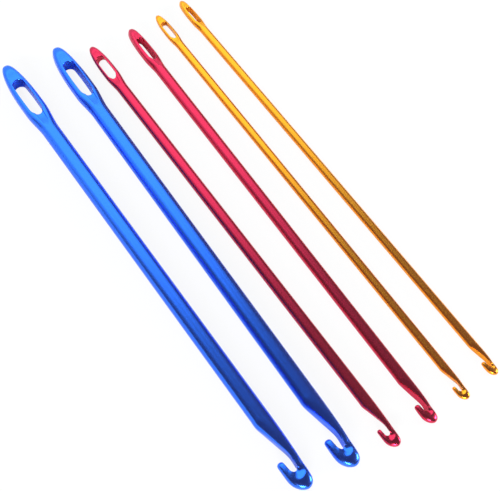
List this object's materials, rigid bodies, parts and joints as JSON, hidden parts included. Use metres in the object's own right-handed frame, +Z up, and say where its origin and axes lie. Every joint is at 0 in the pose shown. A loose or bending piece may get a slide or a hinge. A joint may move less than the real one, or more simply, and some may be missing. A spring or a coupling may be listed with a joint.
{
  "type": "locker hook set",
  "caption": "Straight anodised rods in graded thicknesses, each with a long open eye at one end and a throated crochet-style hook at the other, laid in a row.",
  "frame": {"origin": "centre of the row's footprint, on the table that the rods rest on", "axes": "+Z up; the rods lie along Y with their eyes at +Y and their hooks at -Y; +X runs across the row from the thickest pair to the thinnest, and the hook lips open towards -X"},
  "size_m": [0.0757, 0.1832, 0.0059],
  "materials": {
    "blue_anodised": "satin blue anodised aluminium",
    "red_anodised": "satin red anodised aluminium",
    "gold_anodised": "satin gold anodised aluminium"
  },
  "bodies": {
    "6mm_blue_a_body": {"needle_6mm_blue_a": "blue_anodised"},
    "6mm_blue_b_body": {"needle_6mm_blue_b": "blue_anodised"},
    "4mm_red_a_body": {"needle_4mm_red_a": "red_anodised"},
    "4mm_red_b_body": {"needle_4mm_red_b": "red_anodised"},
    "3mm_gold_a_body": {"needle_3mm_gold_a": "gold_anodised"},
    "3mm_gold_b_body": {"needle_3mm_gold_b": "gold_anodised"}
  },
  "joints": [
    {"name": "lift_6mm_blue_b", "type": "slide", "parent": "6mm_blue_a_body", "child": "6mm_blue_b_body", "axis": [0, 0, 1], "range_m": [0, 0.05]},
    {"name": "lift_4mm_red_a", "type": "slide", "parent": "6mm_blue_a_body", "child": "4mm_red_a_body", "axis": [0, 0, 1], "range_m": [0, 0.05]},
    {"name": "lift_4mm_red_b", "type": "slide", "parent": "6mm_blue_a_body", "child": "4mm_red_b_body", "axis": [0, 0, 1], "range_m": [0, 0.05]},
    {"name": "lift_3mm_gold_a", "type": "slide", "parent": "6mm_blue_a_body", "child": "3mm_gold_a_body", "axis": [0, 0, 1], "range_m": [0, 0.05]},
    {"name": "lift_3mm_gold_b", "type": "slide", "parent": "6mm_blue_a_body", "child": "3mm_gold_b_body", "axis": [0, 0, 1], "range_m": [0, 0.05]}
  ]
}
